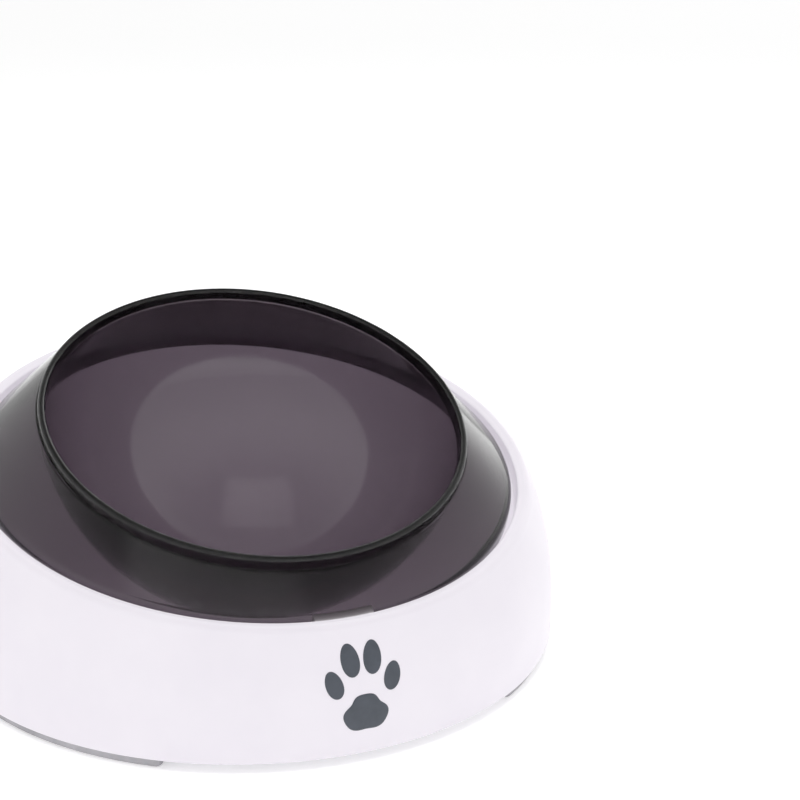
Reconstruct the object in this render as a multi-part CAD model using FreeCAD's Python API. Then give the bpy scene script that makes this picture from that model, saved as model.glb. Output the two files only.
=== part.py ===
import FreeCAD, Part
import math
import os

# Tilted pet bowl: a white outer bowl on three rubber pads, and a smoke see-through bowl that lifts out.
# Millimetres and degrees. +Z is up, -Y is the front, which is the low side of every slant.
# The origin is the middle of the ground circle, on the surface that the pads stand on.

# White outer bowl
base_radius = 90.7
wall_thickness = 2.4
wall_sections = 7
wall_overrun = 1.05         # the wall is made this much taller, and the rim is cut from it
wall_inset = 8.5            # how much narrower the rim is than the foot of the wall
wall_bulge = 2.65            # power of the inward curve: the wall is upright at its foot
foot_height = 3.0           # the wall is a plain cylinder up to this height above the pads
foot_edge_round = 0.7

seat_slant = 14.0           # ledge, rim and skirt all lie on this slant
seat_height = 47.9          # middle of the ledge above the ground
seat_forward = 1.0          # and in front of the middle of the foot
recess_radius = 78.8
recess_depth = 5.4
rim_rise = 1.2              # the rim's outer edge stands this much higher than its inner one
ledge_inner_radius = 76.2
rim_outer_round = 2.0
rim_inner_round = 0.6
ledge_round = 0.4

cavity_fullness = 2.4       # 2 is an ellipse, more is boxier
cavity_sections = 7
cavity_floor_radius = 16.0
cavity_floor_thickness = 1.6
cavity_skin = 2.2
ledge_thickness = 2.4

# Locating key on the ledge, at the front, and the notch in the skirt that it fills
key_foot_width = 15.6
key_top_width = 12.6
key_height = 2.8
key_inner_radius = 76.8
key_sink = 0.2
notch_foot_width = 19.6
notch_top_width = 15.6
notch_height = 3.5

# Cover and pads
pad_height = 2.6
pad_inner_radius = 83.4
pad_outer_radius = 89.2
pad_arc = 55.0
pad_round = 0.4
cover_thickness = 1.4
cover_gap = 0.15

# Smoke bowl
skirt_radius = 77.3
skirt_height = 4.7
skirt_thickness = 2.0
shoulder_round = 1.2
lip_slant = 22.3
lip_forward = 10.0          # middle of the lip, in front of the middle of the base
lip_height = 67.9
lip_radius = 61.0           # outside
lip_drop = 0.7              # how far below the lip's plane its full round starts
collar_height = 3.5         # from the lip's plane down to the flange
flange_step = 0.4           # the flange starts this far outside the collar
flange_top_inset = 1.4      # how far inside the flange's upper edge its inner face starts
flange_top_drop = 1.9       # and how far below it
flange_foot_drop = 1.35     # the same at the skirt: together they keep the flange about 2.2 thick
dish_radius = 59.0          # inside
dish_rise = 1.8             # the dish's centre above the lip's plane, along its axis
dish_thickness = 1.8
nub_forward = 13.1
nub_radius = 1.3
nub_tip_radius = 0.25
nub_length = 2.8

X = FreeCAD.Vector(1, 0, 0)
Y = FreeCAD.Vector(0, 1, 0)
Z = FreeCAD.Vector(0, 0, 1)
overlap = 1.0


def slanted(shape, slant, forward, height):
    """Tips a shape made about +Z so that its front goes down, then moves its origin into place."""
    placed = shape.copy()
    turn = FreeCAD.Rotation(X, slant)
    placed.Placement = FreeCAD.Placement(FreeCAD.Vector(0, -forward, height), turn).multiply(shape.Placement)
    return placed


def on_seat(shape, rise=0.0):
    return slanted(shape, seat_slant, seat_forward + rise * math.sin(math.radians(seat_slant)),
                   seat_height + rise * math.cos(math.radians(seat_slant)))


def on_lip(shape, rise=0.0):
    return slanted(shape, lip_slant, lip_forward + rise * math.sin(math.radians(lip_slant)),
                   lip_height + rise * math.cos(math.radians(lip_slant)))


def ring(radius):
    return Part.Wire([Part.Circle(FreeCAD.Vector(0, 0, 0), Z, radius).toShape()])


def disc(radius, bottom, top):
    return Part.makeCylinder(radius, top - bottom, FreeCAD.Vector(0, 0, bottom))


def wedge(foot_width, top_width, height, sink, inner, outer):
    """A trapezoid seen from the front, standing on a sunk foot, between two radii about the axis."""
    corners = [(-foot_width / 2, -sink), (foot_width / 2, -sink), (foot_width / 2, 0), (top_width / 2, height),
               (-top_width / 2, height), (-foot_width / 2, 0)]
    points = [FreeCAD.Vector(x, -outer - overlap, z) for x, z in corners]
    block = Part.Face(Part.makePolygon(points + points[:1])).extrude(Y * outer)
    return block.common(disc(outer, -2 * overlap, 2 * height)).cut(disc(inner, -2 * overlap, 2 * height))


def round_edges(solid, radius, wanted):
    """Fillets the edges for which wanted(edge) is true, and says so if there are none."""
    edges = [e for e in solid.Edges if wanted(e)]
    if not edges:
        raise ValueError("no edge to round")
    return solid.makeFillet(radius, edges)


def is_circle(edge, radius, height, slack=0.05):
    """True for a level circle of this radius at this height."""
    points = edge.discretize(9)
    return all(abs(math.hypot(p.x, p.y) - radius) < slack and abs(p.z - height) < slack for p in points)


def is_seat_circle(edge, radius, rise, slack=0.05):
    """True for a circle of this radius on the seat's slant, this far above the ledge."""
    flat = FreeCAD.Placement(FreeCAD.Vector(0, -seat_forward, seat_height), FreeCAD.Rotation(X, seat_slant)).inverse()
    local = [flat.multVec(p) for p in edge.discretize(9)]
    return all(abs(math.hypot(p.x, p.y) - radius) < slack and abs(p.z - rise) < slack for p in local)


def wall_ring(share, inset):
    """The outer wall's outline at a share of its height, moved in by inset: level at the foot, slanted at the rim."""
    bottom = pad_height + foot_height
    crest = recess_depth + rim_rise
    top = seat_height + crest * math.cos(math.radians(seat_slant))
    lean = seat_forward + crest * math.sin(math.radians(seat_slant))
    radius = base_radius - wall_inset * share ** wall_bulge - inset
    return slanted(ring(radius), seat_slant * share, lean * share ** 2, bottom + (top - bottom) * share)


def wall_solid(inset, edge_round):
    shares = [wall_overrun * k / (wall_sections - 1) for k in range(wall_sections)]
    wall = Part.makeLoft([wall_ring(s, inset) for s in shares], True, False)
    foot = disc(base_radius - inset, pad_height, pad_height + foot_height)
    if edge_round:
        foot = round_edges(foot, edge_round, lambda e: is_circle(e, base_radius, pad_height))
    return foot.fuse(wall)


def cavity_solid(grown):
    """The inside of the outer bowl below the ledge, or its outer skin when it is grown by the skin's thickness."""
    brim = on_seat(ring(1.0), -ledge_round).BoundBox.Center
    floor = pad_height + cover_thickness + (0.0 if grown else cavity_floor_thickness)
    top_radius = ledge_inner_radius + grown
    last = math.acos((cavity_floor_radius / top_radius) ** (cavity_fullness / 2))
    rings = []
    for k in range(cavity_sections):
        turn = last * k / (cavity_sections - 1)
        radius = top_radius * math.cos(turn) ** (2 / cavity_fullness)
        depth = math.sin(turn) ** (2 / cavity_fullness) / math.sin(last) ** (2 / cavity_fullness)
        height = brim.z + (floor - brim.z) * depth
        rings.append(slanted(ring(radius), seat_slant * (1 - depth), -brim.y * (1 - depth), height))
    return Part.makeLoft(rings, True, False)


def recess_solid():
    """All that is cut away above ledge and rim, with the roundings of the ledge's and the rim's inner edges."""
    def at(x, z):
        return FreeCAD.Vector(x, 0, z)

    def quarter(x, z, radius):
        """A quarter round about (x, z), from its side towards the axis up to its top."""
        reach = radius * math.sqrt(0.5)
        return Part.Arc(at(x - radius, z), at(x - reach, z + reach), at(x, z + radius)).toShape()

    low = -ledge_round
    rim_radius = base_radius - wall_inset
    slope = rim_rise / (rim_radius - recess_radius)
    far = 2 * rim_radius
    top = recess_depth + rim_rise + slope * (far - rim_radius)
    flare = recess_radius + rim_inner_round
    edges = [Part.makeLine(at(0, low), at(ledge_inner_radius, low)),
             quarter(ledge_inner_radius + ledge_round, -ledge_round, ledge_round),
             Part.makeLine(at(ledge_inner_radius + ledge_round, 0), at(recess_radius, 0)),
             Part.makeLine(at(recess_radius, 0), at(recess_radius, recess_depth - rim_inner_round)),
             quarter(flare, recess_depth - rim_inner_round, rim_inner_round),
             Part.makeLine(at(flare, recess_depth), at(rim_radius, recess_depth + rim_rise)),
             Part.makeLine(at(rim_radius, recess_depth + rim_rise), at(far, top)),
             Part.makeLine(at(far, top), at(0, top)),
             Part.makeLine(at(0, top), at(0, low))]
    section = Part.Face(Part.Wire(edges))
    return on_seat(section.revolve(FreeCAD.Vector(0, 0, 0), Z, 360))


def make_outer_bowl():
    rim_radius = base_radius - wall_inset
    body = wall_solid(0.0, foot_edge_round)
    body = body.cut(recess_solid())
    body = round_edges(body, rim_outer_round,
                       lambda e: is_seat_circle(e, rim_radius, recess_depth + rim_rise, 0.4))
    above_hollow = on_seat(disc(base_radius, -ledge_thickness, seat_height))
    hollow = wall_solid(wall_thickness, 0.0).cut([cavity_solid(cavity_skin), above_hollow])
    hollow = hollow.fuse(disc(base_radius - wall_thickness, pad_height - overlap, pad_height + cover_thickness))
    key = on_seat(wedge(key_foot_width, key_top_width, key_height, key_sink, key_inner_radius,
                        recess_radius + overlap))
    bowl = body.cut([cavity_solid(0.0), hollow])
    return bowl.fuse(key).removeSplitter()


def make_base_cover():
    return disc(base_radius - wall_thickness - cover_gap, pad_height, pad_height + cover_thickness)


def make_foot_pad(middle):
    """An arc of flat rubber, its middle this many degrees round from the front."""
    outer = disc(pad_outer_radius, 0, pad_height)
    pad = outer.cut(disc(pad_inner_radius, -overlap, pad_height + overlap))
    start = middle - pad_arc / 2 - 90
    sector = Part.makeCylinder(base_radius, pad_height, FreeCAD.Vector(0, 0, 0), Z, pad_arc)
    sector.rotate(FreeCAD.Vector(0, 0, 0), Z, start)
    pad = pad.common(sector)
    upright = [e for e in pad.Edges if abs(e.tangentAt(e.FirstParameter).z) > 0.9]
    pad = pad.makeFillet(pad_round * 4, upright)
    return pad.makeChamfer(pad_round, [e for e in pad.Edges if e.CenterOfMass.z < 0.01])


def flange_shell():
    """Skirt and flange: a rounded cone on a short cylinder, hollow below, its top open for the dish."""
    foot = on_lip(ring(lip_radius + flange_step), -collar_height)
    skirt = on_seat(disc(skirt_radius, 0, skirt_height))
    cone = Part.makeLoft([on_seat(ring(skirt_radius), skirt_height), foot], True, True)
    hull = skirt.fuse(cone).removeSplitter()
    hull = round_edges(hull, shoulder_round, lambda e: is_seat_circle(e, skirt_radius, skirt_height))

    inner_radius = skirt_radius - skirt_thickness
    top_radius = lip_radius + flange_step - flange_top_inset
    hollow = Part.makeLoft([on_seat(ring(inner_radius), -overlap),
                            on_seat(ring(inner_radius), skirt_height - flange_foot_drop),
                            on_lip(ring(top_radius), -collar_height - flange_top_drop)], True, True)
    core = on_lip(Part.makeSphere(dish_radius + dish_thickness / 2), dish_rise)
    return hull.cut(hollow).cut(core)


def dish():
    """Round dish, lip and collar in one turned shape about the lip's axis."""
    outer_radius = dish_radius + dish_thickness
    lower = -collar_height - dish_thickness / 2
    edge_x = math.sqrt(outer_radius ** 2 - (lower - dish_rise) ** 2)
    lip_x = math.sqrt(dish_radius ** 2 - (lip_drop + dish_rise) ** 2)
    lip_round = (lip_radius - lip_x) / 2
    crown_x = lip_x + lip_round
    reach = lip_round * math.sqrt(0.5)

    def at(x, z):
        return FreeCAD.Vector(x, 0, z)

    def sphere_point(radius, end_x):
        half = math.asin(end_x / radius) / 2
        return at(radius * math.sin(half), dish_rise - radius * math.cos(half))

    outside = Part.Arc(at(0, dish_rise - outer_radius), sphere_point(outer_radius, edge_x), at(edge_x, lower))
    top = at(crown_x, lip_round - lip_drop)
    crown_out = Part.Arc(at(lip_radius, -lip_drop), at(crown_x + reach, reach - lip_drop), top)
    crown_in = Part.Arc(top, at(crown_x - reach, reach - lip_drop), at(lip_x, -lip_drop))
    inside = Part.Arc(at(lip_x, -lip_drop), sphere_point(dish_radius, lip_x), at(0, dish_rise - dish_radius))
    edges = [outside.toShape(),
             Part.makeLine(at(edge_x, lower), at(lip_radius, lower)),
             Part.makeLine(at(lip_radius, lower), at(lip_radius, -lip_drop)),
             crown_out.toShape(),
             crown_in.toShape(),
             inside.toShape(),
             Part.makeLine(at(0, dish_rise - dish_radius), at(0, dish_rise - outer_radius))]
    section = Part.Face(Part.Wire(edges))
    return on_lip(section.revolve(FreeCAD.Vector(0, 0, 0), Z, 360))


def make_food_bowl():
    notch = on_seat(wedge(notch_foot_width, notch_top_width, notch_height, overlap,
                          skirt_radius - 2 * skirt_thickness, skirt_radius + overlap))
    outer_radius = dish_radius + dish_thickness
    centre_forward = lip_forward + dish_rise * math.sin(math.radians(lip_slant))
    centre_height = lip_height + dish_rise * math.cos(math.radians(lip_slant))
    root = centre_height - math.sqrt(outer_radius ** 2 - (nub_forward - centre_forward) ** 2)
    nub = Part.makeCone(nub_tip_radius, nub_radius, nub_length + dish_thickness / 2,
                        FreeCAD.Vector(0, -nub_forward, root - nub_length))
    return flange_shell().cut(notch).fuse([dish(), nub]).removeSplitter()


def save(name, shape):
    solids = shape.Solids
    if len(solids) != 1 or not shape.isValid():
        raise ValueError(f"{name} holds {len(solids)} solids, valid {shape.isValid()}")
    solid = solids[0]
    solid.exportStep(f"parts/{name}.step")
    box = solid.BoundBox
    print(f"{name}: {solid.Volume / 1000:.1f} cm3, {box.XLength:.1f} x {box.YLength:.1f} x {box.ZLength:.1f} mm, "
          f"z {box.ZMin:.2f} to {box.ZMax:.2f}, {len(solid.Faces)} faces")


os.makedirs("parts", exist_ok=True)
save("outer_bowl", make_outer_bowl())
save("food_bowl", make_food_bowl())
save("base_cover", make_base_cover())
for side, middle in {"right": 60, "back": 180, "left": 300}.items():
    save(f"foot_pad_{side}", make_foot_pad(middle))
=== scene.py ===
import bmesh
import bpy
import math
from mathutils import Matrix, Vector


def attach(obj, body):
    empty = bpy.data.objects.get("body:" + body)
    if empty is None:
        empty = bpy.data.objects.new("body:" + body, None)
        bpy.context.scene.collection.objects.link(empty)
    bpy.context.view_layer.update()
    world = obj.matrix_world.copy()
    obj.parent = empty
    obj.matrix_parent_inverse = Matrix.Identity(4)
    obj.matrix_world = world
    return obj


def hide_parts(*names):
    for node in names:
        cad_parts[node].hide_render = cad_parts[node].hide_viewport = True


# Tilted pet bowl: a white outer bowl on rubber pads, and a smoke see-through bowl that lifts out of it.
# Sizes are in millimetres and degrees, and become metres where a mesh is made.
# +Z is up, -Y is the front, which is the low side of every slant.

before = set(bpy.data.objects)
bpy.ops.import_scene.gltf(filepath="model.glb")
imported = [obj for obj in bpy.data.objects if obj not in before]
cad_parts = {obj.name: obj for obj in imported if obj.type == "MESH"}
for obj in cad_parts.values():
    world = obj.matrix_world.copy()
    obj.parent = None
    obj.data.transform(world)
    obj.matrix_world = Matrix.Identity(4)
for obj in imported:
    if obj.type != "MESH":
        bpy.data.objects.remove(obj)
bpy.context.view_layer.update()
mm = 0.001
softSteps = [0.0, 0.04, 0.13, 0.27, 0.42, 0.58, 0.73, 0.87, 0.96, 1.0]  # closer at both ends of a rounding
print("CAD frame loaded")


# A ring is a circle that may be slanted: its middle, its reach to the side and its reach to the front.
# Rings can be mixed like plain vectors, so a rounding between two slants needs no other maths.

def makeRing(radius, slant, forward, height):
    turn = math.radians(slant)
    return Vector((-forward, height, radius, -radius * math.cos(turn), -radius * math.sin(turn)))


def ringOn(seat, radius, rise):  # a ring on a slanted seat, this far above its plane
    turn = math.radians(seat["slant"])
    return makeRing(radius, seat["slant"], seat["forward"] + rise * math.sin(turn),
                    seat["height"] + rise * math.cos(turn))


def roundCorner(start, corner, end, fullness=0.56):  # a soft bend from start to end that heads for corner
    near = start.lerp(corner, fullness)
    far = end.lerp(corner, fullness)
    bend = []
    for u in softSteps:
        v = 1.0 - u
        bend.append(start * v ** 3 + near * 3 * v * v * u + far * 3 * v * u * u + end * u ** 3)
    return bend


def pointOn(ring, angle):  # angle 0 is the front, 90 degrees the right
    return Vector((ring[2] * math.sin(angle), ring[0] + ring[3] * math.cos(angle),
                   ring[1] + ring[4] * math.cos(angle))) * mm


# Geometry Nodes: turns a row of rings into one closed shell

def makeShellTree():
    tree = bpy.data.node_groups.new("shellFromRings", "GeometryNodeTree")
    tree.interface.new_socket("Rings", in_out="INPUT", socket_type="NodeSocketGeometry")
    tree.interface.new_socket("Sides", in_out="INPUT", socket_type="NodeSocketInt")
    tree.interface.new_socket("Weld Distance", in_out="INPUT", socket_type="NodeSocketFloat")
    tree.interface.new_socket("Material", in_out="INPUT", socket_type="NodeSocketMaterial")
    tree.interface.new_socket("Shell", in_out="OUTPUT", socket_type="NodeSocketGeometry")
    add = tree.nodes.new
    link = tree.links.new
    given = add("NodeGroupInput")
    result = add("NodeGroupOutput")

    def calc(kind, operation, a, b):
        node = add(kind)
        node.operation = operation
        for socket, value in zip(node.inputs, (a, b)):
            if isinstance(value, (int, float)):
                socket.default_value = value
            elif value is not None:
                link(value, socket)
        return node.outputs["Value"] if kind != "ShaderNodeVectorMath" else node.outputs["Vector"]

    ringCount = add("GeometryNodeAttributeDomainSize")
    ringCount.component = "MESH"
    link(given.outputs["Rings"], ringCount.inputs[0])
    columns = calc("ShaderNodeMath", "ADD", given.outputs["Sides"], 1.0)
    grid = add("GeometryNodeMeshGrid")
    link(ringCount.outputs["Point Count"], grid.inputs["Vertices X"])
    link(columns, grid.inputs["Vertices Y"])

    index = add("GeometryNodeInputIndex").outputs[0]
    ringIndex = calc("ShaderNodeMath", "FLOOR", calc("ShaderNodeMath", "DIVIDE", index, columns), None)
    step = calc("ShaderNodeMath", "MODULO", index, columns)
    turn = calc("ShaderNodeMath", "DIVIDE", step, given.outputs["Sides"])
    angle = calc("ShaderNodeMath", "MULTIPLY", turn, 2 * math.pi)
    sine = calc("ShaderNodeMath", "SINE", angle, None)
    cosine = calc("ShaderNodeMath", "COSINE", angle, None)

    def sample(name):
        named = add("GeometryNodeInputNamedAttribute")
        named.data_type = "FLOAT_VECTOR"
        named.inputs["Name"].default_value = name
        picked = add("GeometryNodeSampleIndex")
        picked.data_type = "FLOAT_VECTOR"
        link(given.outputs["Rings"], picked.inputs["Geometry"])
        link(named.outputs["Attribute"], picked.inputs["Value"])
        link(ringIndex, picked.inputs["Index"])
        return picked.outputs["Value"]

    def scaled(vector, factor):
        node = add("ShaderNodeVectorMath")
        node.operation = "SCALE"
        link(vector, node.inputs[0])
        link(factor, node.inputs["Scale"])
        return node.outputs["Vector"]

    across = calc("ShaderNodeVectorMath", "ADD", scaled(sample("side"), sine), scaled(sample("front"), cosine))
    place = add("GeometryNodeSetPosition")
    link(grid.outputs["Mesh"], place.inputs["Geometry"])
    link(calc("ShaderNodeVectorMath", "ADD", sample("middle"), across), place.inputs["Position"])
    weld = add("GeometryNodeMergeByDistance")  # closes the seam and both poles
    link(place.outputs["Geometry"], weld.inputs["Geometry"])
    link(given.outputs["Weld Distance"], weld.inputs["Distance"])
    real = add("GeometryNodeRealizeInstances")
    link(weld.outputs["Geometry"], real.inputs["Geometry"])
    finish = add("GeometryNodeSetMaterial")
    link(real.outputs["Geometry"], finish.inputs["Geometry"])
    link(given.outputs["Material"], finish.inputs["Material"])
    link(finish.outputs["Geometry"], result.inputs["Shell"])
    return tree


def plainMesh(piece, name):  # the evaluated piece as a mesh of its own, its modifiers gone
    bpy.context.view_layer.update()
    mesh = bpy.data.meshes.new_from_object(piece.evaluated_get(bpy.context.evaluated_depsgraph_get()))
    piece.modifiers.clear()
    piece.data = mesh
    mesh.name = name
    return mesh


def pointOutwards(mesh):
    shell = bmesh.new()
    shell.from_mesh(mesh)
    bmesh.ops.recalc_face_normals(shell, faces=shell.faces)
    shell.to_mesh(mesh)
    shell.free()


def smoothShade(mesh, sharpAngle):
    mesh.shade_smooth()
    mesh.set_sharp_from_angle(angle=math.radians(sharpAngle))


def newPiece(name, mesh):
    piece = bpy.data.objects.new(name, mesh)
    bpy.context.scene.collection.objects.link(piece)
    return piece


def makeShell(name, rings, sides, material):
    mesh = bpy.data.meshes.new(name + "Rings")
    mesh.from_pydata([(0.0, 0.0, 0.0)] * len(rings), [], [])
    parts = {"middle": [(0.0, r[0], r[1]) for r in rings],
             "side": [(r[2], 0.0, 0.0) for r in rings],
             "front": [(0.0, r[3], r[4]) for r in rings]}
    for title, values in parts.items():
        attribute = mesh.attributes.new(title, "FLOAT_VECTOR", "POINT")
        attribute.data.foreach_set("vector", [n * mm for v in values for n in v])
    piece = newPiece(name, mesh)
    shell = piece.modifiers.new("shell", "NODES")
    shell.node_group = shellTree
    wanted = {"Sides": sides, "Weld Distance": 0.000001, "Material": material}
    for item in shellTree.interface.items_tree:
        if item.name in wanted:
            shell[item.identifier] = wanted[item.name]
    pointOutwards(plainMesh(piece, name))
    return piece


# Materials

def newMaterial(name):
    material = bpy.data.materials.new(name)
    material.use_nodes = True
    nodes = material.node_tree.nodes
    shader = next(n for n in nodes if n.type == "BSDF_PRINCIPLED")
    return material, nodes, material.node_tree.links, shader


def addNoise(nodes, links, scale, detail, roughness=0.55):
    noise = nodes.new("ShaderNodeTexNoise")
    noise.inputs["Scale"].default_value = scale
    noise.inputs["Detail"].default_value = detail
    noise.inputs["Roughness"].default_value = roughness
    where = nodes.new("ShaderNodeTexCoord")
    links.new(where.outputs["Object"], noise.inputs["Vector"])
    return noise.outputs["Fac"]


def addSpread(nodes, links, value, low, high):  # spreads a noise between two numbers
    spread = nodes.new("ShaderNodeMapRange")
    spread.inputs["From Min"].default_value = 0.3
    spread.inputs["From Max"].default_value = 0.7
    spread.inputs["To Min"].default_value = low
    spread.inputs["To Max"].default_value = high
    links.new(value, spread.inputs["Value"])
    return spread.outputs["Result"]


def addTint(nodes, links, value, dark, light):
    tint = nodes.new("ShaderNodeMix")
    tint.data_type = "RGBA"
    tint.inputs["A"].default_value = (*dark, 1.0)
    tint.inputs["B"].default_value = (*light, 1.0)
    links.new(addSpread(nodes, links, value, 0.0, 1.0), tint.inputs["Factor"])
    return tint.outputs["Result"]


def addBump(nodes, links, value, strength, depth, under=None):
    bump = nodes.new("ShaderNodeBump")
    bump.inputs["Strength"].default_value = strength
    bump.inputs["Distance"].default_value = depth
    links.new(value, bump.inputs["Height"])
    if under:
        links.new(under, bump.inputs["Normal"])
    return bump.outputs["Normal"]


def makeOpaque(name, look):  # moulded plastic, rubber and ink differ only in their numbers
    material, nodes, links, shader = newMaterial(name)
    cloud = addNoise(nodes, links, look["cloudScale"], 3.0)
    grain = addNoise(nodes, links, look["grainScale"], 2.0)
    links.new(addTint(nodes, links, cloud, look["dark"], look["light"]), shader.inputs["Base Color"])
    links.new(addSpread(nodes, links, grain, *look["roughness"]), shader.inputs["Roughness"])
    wave = addBump(nodes, links, cloud, look["waveStrength"], 0.0004)
    links.new(addBump(nodes, links, grain, look["grainStrength"], 0.00005, wave), shader.inputs["Normal"])
    shader.inputs["IOR"].default_value = look["ior"]
    return material


def makeSmoke(name, look):
    material, nodes, links, shader = newMaterial(name)
    cloud = addNoise(nodes, links, look["cloudScale"], 2.0)
    links.new(addSpread(nodes, links, cloud, *look["roughness"]), shader.inputs["Roughness"])
    links.new(addBump(nodes, links, cloud, look["waveStrength"], 0.0003), shader.inputs["Normal"])
    shader.inputs["Base Color"].default_value = (*look["surface"], 1.0)
    shader.inputs["IOR"].default_value = look["ior"]
    shader.inputs["Transmission Weight"].default_value = 1.0
    inside = nodes.new("ShaderNodeVolumeAbsorption")
    inside.inputs["Color"].default_value = (*look["tint"], 1.0)
    inside.inputs["Density"].default_value = look["density"]
    output = next(n for n in nodes if n.type == "OUTPUT_MATERIAL")
    links.new(inside.outputs["Volume"], output.inputs["Volume"])
    return material


looks = {
    "whitePlastic": {"dark": (0.785, 0.75, 0.81), "light": (0.815, 0.78, 0.835), "cloudScale": 45.0,
                     "grainScale": 2600.0, "roughness": (0.33, 0.42), "waveStrength": 0.03,
                     "grainStrength": 0.12, "ior": 1.5},
    "coverPlastic": {"dark": (0.68, 0.67, 0.71), "light": (0.75, 0.74, 0.78), "cloudScale": 30.0,
                     "grainScale": 1500.0, "roughness": (0.5, 0.62), "waveStrength": 0.1,
                     "grainStrength": 0.35, "ior": 1.5},
    "padRubber": {"dark": (0.36, 0.355, 0.375), "light": (0.46, 0.45, 0.475), "cloudScale": 160.0,
                  "grainScale": 1900.0, "roughness": (0.62, 0.8), "waveStrength": 0.2,
                  "grainStrength": 0.6, "ior": 1.5},
    "slateInk": {"dark": (0.052, 0.06, 0.075), "light": (0.07, 0.08, 0.1), "cloudScale": 220.0,
                 "grainScale": 2400.0, "roughness": (0.38, 0.5), "waveStrength": 0.1,
                 "grainStrength": 0.25, "ior": 1.48},
}
smokeLook = {"surface": (1.0, 1.0, 1.0), "tint": (0.12, 0.03, 0.10), "density": 1120.0, "ior": 1.49,
             "cloudScale": 18.0, "roughness": (0.06, 0.09), "waveStrength": 0.015}

materials = {name: makeOpaque(name, look) for name, look in looks.items()}
materials["smokePlastic"] = makeSmoke("smokePlastic", smokeLook)
shellTree = makeShellTree()
print("materials and the shell tree made")


# White outer bowl: wall, rim, recess, ledge and cavity, hollow between wall and cavity

seat = {"slant": 14.0, "forward": 1.0, "height": 47.9}  # the ledge that carries the smoke bowl
outerBowl = {"footRadius": 90.7, "footLow": 2.6, "footHigh": 5.6, "footRound": 0.7, "wallInset": 8.5,
             "wallPower": 2.65, "wallThickness": 2.4, "wallRows": 40, "rimRise": 6.6, "rimReach": 2.1,
             "recessRadius": 78.8, "recessDepth": 5.4, "rimInnerRound": 0.6, "recessFoot": 0.35,
             "ledgeRadius": 76.2, "ledgeRound": 0.4, "ledgeThickness": 2.4, "fullness": 2.4,
             "floorRadius": 16.0, "floorTop": 5.6, "floorUnder": 4.0, "skin": 2.2, "cavityRows": 40,
             "sides": 320}


def wallRing(share, inset=0.0):  # share 0 is the top of the straight foot, 1 the rim's outer edge
    b = outerBowl
    turn = math.radians(seat["slant"])
    top = seat["height"] + b["rimRise"] * math.cos(turn)
    lean = seat["forward"] + b["rimRise"] * math.sin(turn)
    radius = b["footRadius"] - b["wallInset"] * share ** b["wallPower"] - inset
    return makeRing(radius, seat["slant"] * share, lean * share ** 2,
                    b["footHigh"] + (top - b["footHigh"]) * share)


def cavityRings(topRadius, floor, firstShare):  # from under the ledge down to the floor
    b = outerBowl
    brim = ringOn(seat, topRadius, -b["ledgeRound"])
    last = math.acos((b["floorRadius"] / topRadius) ** (b["fullness"] / 2))
    rings = []
    for k in range(b["cavityRows"] + 1):
        share = firstShare + (1.0 - firstShare) * k / b["cavityRows"]
        turn = last * share
        depth = (math.sin(turn) / math.sin(last)) ** (2 / b["fullness"])
        rings.append(makeRing(topRadius * math.cos(turn) ** (2 / b["fullness"]), seat["slant"] * (1 - depth),
                              -brim[0] * (1 - depth), brim[1] + (floor - brim[1]) * depth))
    return rings


def outerBowlRings():
    b = outerBowl
    floor = makeRing(0.0, 0.0, 0.0, b["floorTop"])
    rings = [floor] + cavityRings(b["ledgeRadius"], b["floorTop"], 0.0)[::-1]
    ledge = b["ledgeRadius"]
    rings += roundCorner(rings[-1], ringOn(seat, ledge, 0.0), ringOn(seat, ledge + b["ledgeRound"], 0.0))[1:]
    recess, foot = b["recessRadius"], b["recessFoot"]
    rings += roundCorner(ringOn(seat, recess - foot, 0.0), ringOn(seat, recess, 0.0), ringOn(seat, recess, foot))
    depth, inner = b["recessDepth"], b["rimInnerRound"]
    landStart = ringOn(seat, recess + inner, depth)
    crest = wallRing(1.0)
    rings += roundCorner(ringOn(seat, recess, depth - inner), ringOn(seat, recess, depth),
                         landStart.lerp(crest, 0.12))
    reachDown = b["rimReach"] / (crest[1] - b["footHigh"])
    landEnd = landStart.lerp(crest, 0.34)
    rings += roundCorner(landEnd, crest, wallRing(1.0 - reachDown), 0.6)
    for k in range(b["wallRows"] - 1, -1, -1):
        rings.append(wallRing((1.0 - reachDown) * k / b["wallRows"]))
    radius, low, edge = b["footRadius"], b["footLow"], b["footRound"]
    rings += roundCorner(makeRing(radius, 0, 0, low + edge), makeRing(radius, 0, 0, low),
                         makeRing(radius - edge, 0, 0, low))
    within = radius - b["wallThickness"]
    rings += [makeRing(within, 0, 0, low), makeRing(within, 0, 0, b["footHigh"])]
    rings += [wallRing(0.1 * k, b["wallThickness"]) for k in range(1, 7)]
    rings += [makeRing(84.0, seat["slant"], 3.2, 44.9),  # top of the hollow, a little inside the wall
              ringOn(seat, ledge + b["skin"], -b["ledgeThickness"])]
    rings += cavityRings(ledge + b["skin"], b["floorUnder"], 0.04)
    rings.append(makeRing(0.0, 0.0, 0.0, b["floorUnder"]))
    return rings


outer = makeShell("outerBowl", outerBowlRings(), outerBowl["sides"], materials["whitePlastic"])
smoothShade(outer.data, 40)
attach(outer, "base")
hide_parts("outer_bowl")
print("outer bowl made")


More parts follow.
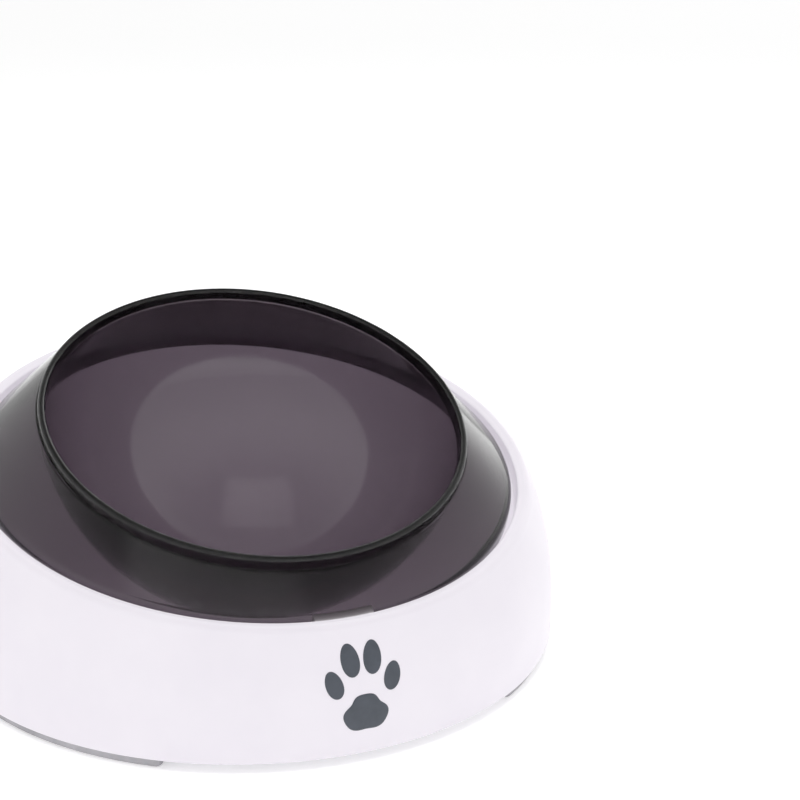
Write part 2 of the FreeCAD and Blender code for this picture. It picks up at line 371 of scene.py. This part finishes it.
def trapezoidBlock(name, shape, low, inner, outward, material):
    block = bmesh.new()
    columns = 16
    levels = [low, 0.0, shape["height"]]
    halves = [shape["foot"] / 2, shape["foot"] / 2, shape["top"] / 2]
    grid = {}
    for side, radius in enumerate((inner, outward)):
        for row, (rise, half) in enumerate(zip(levels, halves)):
            for column in range(columns + 1):
                x = half * (2.0 * column / columns - 1.0)
                place = pointOn(ringOn(seat, radius, rise), math.asin(x / radius))
                grid[side, row, column] = block.verts.new(place)
    for column in range(columns):
        for row in range(2):
            for side in range(2):
                block.faces.new([grid[side, row, column], grid[side, row, column + 1],
                                 grid[side, row + 1, column + 1], grid[side, row + 1, column]])
        for row in (0, 2):
            block.faces.new([grid[0, row, column], grid[1, row, column],
                             grid[1, row, column + 1], grid[0, row, column + 1]])
    for column in (0, columns):
        for row in range(2):
            block.faces.new([grid[0, row, column], grid[1, row, column],
                             grid[1, row + 1, column], grid[0, row + 1, column]])
    bmesh.ops.recalc_face_normals(block, faces=block.faces)
    mesh = bpy.data.meshes.new(name)
    block.to_mesh(mesh)
    block.free()
    if material:
        mesh.materials.append(material)
    return newPiece(name, mesh)


# Locating key on the ledge, which the smoke bowl's notch sits over

ledgeKey = {"foot": 15.6, "top": 12.6, "height": 2.8, "sink": 0.2, "innerRadius": 76.8, "outerRadius": 79.2,
            "edgeRound": 0.35}
key = trapezoidBlock("ledgeKey", ledgeKey, -ledgeKey["sink"], ledgeKey["innerRadius"], ledgeKey["outerRadius"],
                     materials["whitePlastic"])
soften = key.modifiers.new("soften", "BEVEL")
soften.width = ledgeKey["edgeRound"] * mm
soften.segments = 3
soften.limit_method = "ANGLE"
soften.angle_limit = math.radians(35)
plainMesh(key, "ledgeKey")
smoothShade(key.data, 40)
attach(key, "base")
print("ledge key made")


# Smoke bowl: dish, lip, collar, sloping flange, shoulder and skirt in one moulding

lip = {"slant": 22.3, "forward": 10.0, "height": 67.9}
smokeBowl = {"dishRadius": 59.0, "dishRise": 1.8, "dishThickness": 1.8, "dishRows": 48,
             "lipRadius": 61.0, "lipDrop": 0.7, "lipRows": 14, "collar": 2.35, "collarLean": 1.08, "flangeStep": 0.4,
             "flangeTopInset": 1.4, "flangeTopDrop": 1.9, "flangeFootDrop": 1.35, "flangeRows": 16,
             "flangeLength": 16.0, "shoulder": 1.5, "skirtRadius": 77.3, "skirtHeight": 4.7, "skirtThickness": 2.0,
             "skirtEdge": 0.3, "sides": 320}


def smokeBowlRings():
    b = smokeBowl
    inside = b["dishRadius"]
    outside = inside + b["dishThickness"]
    collar = b["lipRadius"]

    def leaningRing(radius, rise, lean):  # the collar is taller at the front, so its foot leans from the lip
        turn = math.radians(lip["slant"] + lean)
        centre = ringOn(lip, 0.0, b["dishRise"])
        drop = rise - b["dishRise"]
        return makeRing(radius, lip["slant"] + lean, drop * math.sin(turn) - centre[0],
                        centre[1] + drop * math.cos(turn))

    def dishRing(radius, turn, lean=0.0):
        return leaningRing(radius * math.sin(turn), b["dishRise"] - radius * math.cos(turn), lean)

    reach = math.acos((b["lipDrop"] + b["dishRise"]) / inside)
    rings = [dishRing(inside, reach * k / b["dishRows"]) for k in range(b["dishRows"] + 1)]
    crown = (collar - rings[-1][2]) / 2  # the lip is one full round
    for k in range(1, b["lipRows"] + 1):
        turn = math.pi * k / b["lipRows"]
        rings.append(ringOn(lip, collar - crown * (1 + math.cos(turn)), crown * math.sin(turn) - b["lipDrop"]))
    lean = b["collarLean"]
    flangeTop = leaningRing(collar + b["flangeStep"], -b["collar"], lean)
    flangeFoot = ringOn(seat, b["skirtRadius"], b["skirtHeight"])
    rings += roundCorner(leaningRing(collar, 0.15 - b["collar"], lean), leaningRing(collar, -b["collar"], lean),
                         leaningRing(collar + 0.15, -b["collar"], lean))
    rings += roundCorner(leaningRing(collar + 0.25, -b["collar"], lean), flangeTop,
                         flangeTop.lerp(flangeFoot, 0.015))
    reach = b["shoulder"] / b["flangeLength"]
    for k in range(1, b["flangeRows"]):
        rings.append(flangeTop.lerp(flangeFoot, 0.015 + (0.985 - reach) * k / b["flangeRows"]))
    radius, edge = b["skirtRadius"], b["skirtEdge"]
    rings += roundCorner(flangeTop.lerp(flangeFoot, 1.0 - reach), flangeFoot,
                         ringOn(seat, radius, b["skirtHeight"] - b["shoulder"]), 0.6)
    rings += roundCorner(ringOn(seat, radius, edge), ringOn(seat, radius, 0.0), ringOn(seat, radius - edge, 0.0))
    inner = radius - b["skirtThickness"]
    rings += roundCorner(ringOn(seat, inner + edge, 0.0), ringOn(seat, inner, 0.0), ringOn(seat, inner, edge))
    innerFoot = ringOn(seat, inner, b["skirtHeight"] - b["flangeFootDrop"])
    drop = -b["collar"] - b["flangeTopDrop"]
    innerTop = leaningRing(collar + b["flangeStep"] - b["flangeTopInset"], drop, lean)
    rings += roundCorner(innerFoot.lerp(ringOn(seat, inner, edge), 0.2), innerFoot, innerFoot.lerp(innerTop, 0.04))
    for k in range(1, b["flangeRows"]):
        rings.append(innerFoot.lerp(innerTop, 0.04 + 0.94 * k / b["flangeRows"]))
    start = math.acos((b["dishRise"] - drop) / outside)
    rings += roundCorner(innerFoot.lerp(innerTop, 0.985), innerTop, dishRing(outside, start - 0.004, lean))
    for k in range(1, b["dishRows"] + 1):
        rest = 1.0 - k / b["dishRows"]
        rings.append(dishRing(outside, start * rest, lean * rest))
    return rings


def joinShapes(piece, other, operation):  # cuts the other shape away or melts it in, then drops it
    change = piece.modifiers.new(operation, "BOOLEAN")
    change.operation = operation
    change.solver = "EXACT"
    change.object = other
    plainMesh(piece, piece.name)
    bpy.data.objects.remove(other)


notch = {"foot": 19.6, "top": 15.6, "height": 3.5, "innerRadius": 73.3, "outerRadius": 78.8}
nub = {"forward": 13.1, "radius": 1.3, "tipRadius": 0.35, "tip": 6.02, "root": 10.0, "sides": 40}


def nubRings():
    n = nub
    rings = [makeRing(0.0, 0.0, n["forward"], n["root"]), makeRing(n["radius"] * 1.1, 0.0, n["forward"], n["root"])]
    tipCentre = n["tip"] + n["tipRadius"]
    for k in range(7):
        turn = math.pi / 2 * (1 - k / 6)
        rings.append(makeRing(n["tipRadius"] * math.sin(turn), 0.0, n["forward"],
                              tipCentre - n["tipRadius"] * math.cos(turn)))
    return rings


smoke = makeShell("smokeBowl", smokeBowlRings(), smokeBowl["sides"], materials["smokePlastic"])
cutter = trapezoidBlock("notchCutter", notch, -1.0, notch["innerRadius"], notch["outerRadius"], None)
joinShapes(smoke, cutter, "DIFFERENCE")
tip = makeShell("nubShape", nubRings(), nub["sides"], materials["smokePlastic"])
joinShapes(smoke, tip, "UNION")
smoothShade(smoke.data, 40)
smoke.visible_shadow = False  # see-through plastic, so light reaches the white plastic under it
smoke.visible_diffuse = False
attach(smoke, "bowl")
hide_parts("food_bowl")
print("smoke bowl made")


# Paw print on the front of the wall, a thin printed layer that follows the curve

pawPrint = {"height": 19.6, "proud": 0.10, "sink": 0.25, "rows": 9, "sides": 56}
pads = [  # sideways, upwards, half width, half height, lean
    (-7.6, 1.4, 2.2, 3.4, 18.0), (-2.9, 6.4, 2.4, 3.8, 7.0), (2.9, 6.4, 2.4, 3.8, -7.0), (7.6, 1.4, 2.2, 3.4, -18.0),
]


def wallPoint(x, z, away):  # on the outer wall's front at this height, moved off it along its normal
    def at(xHere, share):
        ring = wallRing(share)
        return pointOn(ring, math.asin(xHere / ring[2]))

    low, high = 0.0, 1.0
    for step in range(30):
        share = (low + high) / 2
        if at(x, share).z < z * mm:
            low = share
        else:
            high = share
    here = at(x, share)
    normal = (at(x + 0.2, share) - here).cross(at(x, share + 0.01) - here).normalized()
    return here + normal * away * mm


def heelOutline(angle):  # the large pad: broad and lobed below, narrow above
    x, z = math.sin(angle), math.cos(angle)
    size = 5.0 - 0.75 * z + 0.45 * math.cos(3 * angle) - 0.18 * math.cos(6 * angle)
    return x * size * 1.12, -5.6 + z * size * 0.92


def toeOutline(toe, angle):
    x, z = toe[2] * math.sin(angle), toe[3] * math.cos(angle) * (1.0 + 0.06 * math.cos(angle))
    lean = math.radians(toe[4])
    return toe[0] + x * math.cos(lean) - z * math.sin(lean), toe[1] + x * math.sin(lean) + z * math.cos(lean)


def addPatch(sheet, middle, outline):  # a closed thin patch: a dome of rings, then its underside
    p = pawPrint
    levels = [(k / (p["rows"] - 1), p["proud"]) for k in range(1, p["rows"] - 1)]
    levels += [(0.985, p["proud"] * 0.9), (1.0, p["proud"] * 0.45), (1.0, -p["sink"])]
    levels += [(k / (p["rows"] - 1), -p["sink"]) for k in range(p["rows"] - 2, 0, -2)]
    loops = []
    for share, away in levels:
        loop = []
        for k in range(p["sides"]):
            x, z = outline(2 * math.pi * k / p["sides"])
            spot = (middle[0] + (x - middle[0]) * share, middle[1] + (z - middle[1]) * share)
            loop.append(sheet.verts.new(wallPoint(spot[0], p["height"] + spot[1], away)))
        loops.append(loop)
    for inner, wider in zip(loops, loops[1:]):
        for k in range(p["sides"]):
            n = (k + 1) % p["sides"]
            sheet.faces.new((inner[k], inner[n], wider[n], wider[k]))
    for loop, away in ((loops[0], p["proud"]), (loops[-1], -p["sink"])):
        centre = sheet.verts.new(wallPoint(middle[0], p["height"] + middle[1], away))
        for k in range(p["sides"]):
            sheet.faces.new((centre, loop[k], loop[(k + 1) % p["sides"]]))


def makePawPrint():
    sheet = bmesh.new()
    addPatch(sheet, (0.0, -5.8), heelOutline)
    for toe in pads:
        addPatch(sheet, (toe[0], toe[1]), lambda angle, toe=toe: toeOutline(toe, angle))
    bmesh.ops.recalc_face_normals(sheet, faces=sheet.faces)
    mesh = bpy.data.meshes.new("pawPrint")
    sheet.to_mesh(mesh)
    sheet.free()
    mesh.materials.append(materials["slateInk"])
    smoothShade(mesh, 40)
    return newPiece("pawPrint", mesh)


paw = makePawPrint()
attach(paw, "base")
print("paw print made")


# Cover and pads keep their CAD shapes

for name, material in {"base_cover": "coverPlastic", "foot_pad_left": "padRubber", "foot_pad_right": "padRubber",
                       "foot_pad_back": "padRubber"}.items():
    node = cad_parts[name]
    node.data.materials.clear()
    node.data.materials.append(materials[material])
print("cover and pads finished")


# Floor, lights and camera

floor = {"radius": 40.0, "sides": 128, "color": (0.98, 0.98, 0.98), "glow": 0.26}
studio = {"tones": [(0.0, 0.8), (0.2, 0.85), (0.45, 0.95), (0.65, 0.8), (0.85, 0.45), (1.0, 0.22)],
          "glows": [  # direction round the object, height angle, spread and strength
              (135.0, 10.0, 0.08, 1.6)]}
lamps = [  # name, direction round the object, height angle, distance and width in metres, watts
    ("fillTop", -20.0, 80.0, 1.5, 0.9, 9.5), ("fillLeft", -105.0, 50.0, 1.5, 0.8, 0.3),
    ("fillRight", 95.0, 50.0, 1.5, 0.8, 0.3), ("fillBack", 180.0, 40.0, 1.5, 0.8, 0.8),
]


def makeFloor():
    disc = bmesh.new()
    bmesh.ops.create_circle(disc, cap_ends=True, cap_tris=False, radius=floor["radius"], segments=floor["sides"])
    mesh = bpy.data.meshes.new("studioFloor")
    disc.to_mesh(mesh)
    disc.free()
    ground = newPiece("studioFloor", mesh)
    material, nodes, links, shader = newMaterial("floorPaper")
    shader.inputs["Base Color"].default_value = (*floor["color"], 1.0)
    shader.inputs["Roughness"].default_value = 0.9
    shader.inputs["Specular IOR Level"].default_value = 0.1
    shader.inputs["Emission Color"].default_value = (1.0, 1.0, 1.0, 1.0)
    shader.inputs["Emission Strength"].default_value = floor["glow"]
    mesh.materials.append(material)


def towards(azimuth, height):  # a direction seen from the object, azimuth 0 is the front, 90 the right
    side, up = math.radians(azimuth), math.radians(height)
    return Vector((math.sin(side) * math.cos(up), -math.cos(side) * math.cos(up), math.sin(up)))


def makeStudio():  # a bright band all round, a darker ceiling, and soft glows as from lit panels
    world = bpy.data.worlds.new("softStudio")
    world.use_nodes = True
    nodes, links = world.node_tree.nodes, world.node_tree.links
    sky = next(n for n in nodes if n.type == "BACKGROUND")
    direction = nodes.new("ShaderNodeTexCoord").outputs["Generated"]
    split = nodes.new("ShaderNodeSeparateXYZ")
    tone = nodes.new("ShaderNodeFloatCurve")
    curve = tone.mapping.curves[0]
    tone.mapping.use_clip = False
    points = studio["tones"]
    for point, (height, light) in zip(curve.points, (points[0], points[-1])):
        point.location = (height, light)
    for height, light in points[1:-1]:
        curve.points.new(height, light)
    tone.mapping.update()
    links.new(direction, split.inputs["Vector"])
    links.new(split.outputs["Z"], tone.inputs["Value"])
    total = tone.outputs["Value"]

    def calc(operation, a, b):
        node = nodes.new("ShaderNodeMath")
        node.operation = operation
        for socket, value in zip(node.inputs, (a, b)):
            if isinstance(value, float):
                socket.default_value = value
            else:
                links.new(value, socket)
        return node.outputs["Value"]

    for azimuth, height, spread, strength in studio["glows"]:
        aim = nodes.new("ShaderNodeVectorMath")
        aim.operation = "DOT_PRODUCT"
        aim.inputs[1].default_value = towards(azimuth, height)
        links.new(direction, aim.inputs[0])
        off = calc("DIVIDE", calc("SUBTRACT", aim.outputs["Value"], 1.0), spread)
        total = calc("ADD", total, calc("MULTIPLY", calc("POWER", math.e, off), strength))
    links.new(total, sky.inputs["Strength"])
    sky.inputs["Color"].default_value = (1.0, 1.0, 1.0, 1.0)
    bpy.context.scene.world = world
    bpy.context.scene.view_settings.view_transform = "Standard"  # so that white paper stays white


def makeLamps():  # fill light for the white plastic, which the smoke plastic doesn't mirror
    for name, azimuth, height, distance, size, watts in lamps:
        light = bpy.data.lights.new(name, "AREA")
        light.size = size
        light.energy = watts
        lamp = newPiece(name, light)
        away = towards(azimuth, height)
        lamp.location = Vector((0.0, 0.0, 0.08)) + away * distance
        lamp.rotation_euler = away.to_track_quat("Z", "Y").to_euler()
        lamp.visible_glossy = False


view = {"azimuth": -18.5, "elevation": 16.79, "distance": 405.0, "aimHeight": 67.43, "turn": -2.37,
        "lens": 62.73, "shift": 0.125}


def makeCamera():
    azimuth, elevation = math.radians(view["azimuth"]), math.radians(view["elevation"])
    lens = bpy.data.cameras.new("photoCamera")
    lens.lens = view["lens"]
    lens.sensor_width = 36.0
    lens.shift_x = view["shift"]
    lens.clip_start = 0.01
    lens.clip_end = 30.0
    camera = newPiece("photoCamera", lens)
    back = Vector((math.sin(azimuth) * math.cos(elevation), -math.cos(azimuth) * math.cos(elevation),
                   math.sin(elevation)))
    camera.location = Vector((0.0, 0.0, view["aimHeight"] * mm)) + back * view["distance"] * mm
    camera.rotation_euler = (math.pi / 2 - elevation, 0.0, azimuth + math.radians(view["turn"]))
    bpy.context.scene.camera = camera


makeFloor()
makeStudio()
makeLamps()
makeCamera()
print("floor, lights and camera placed")
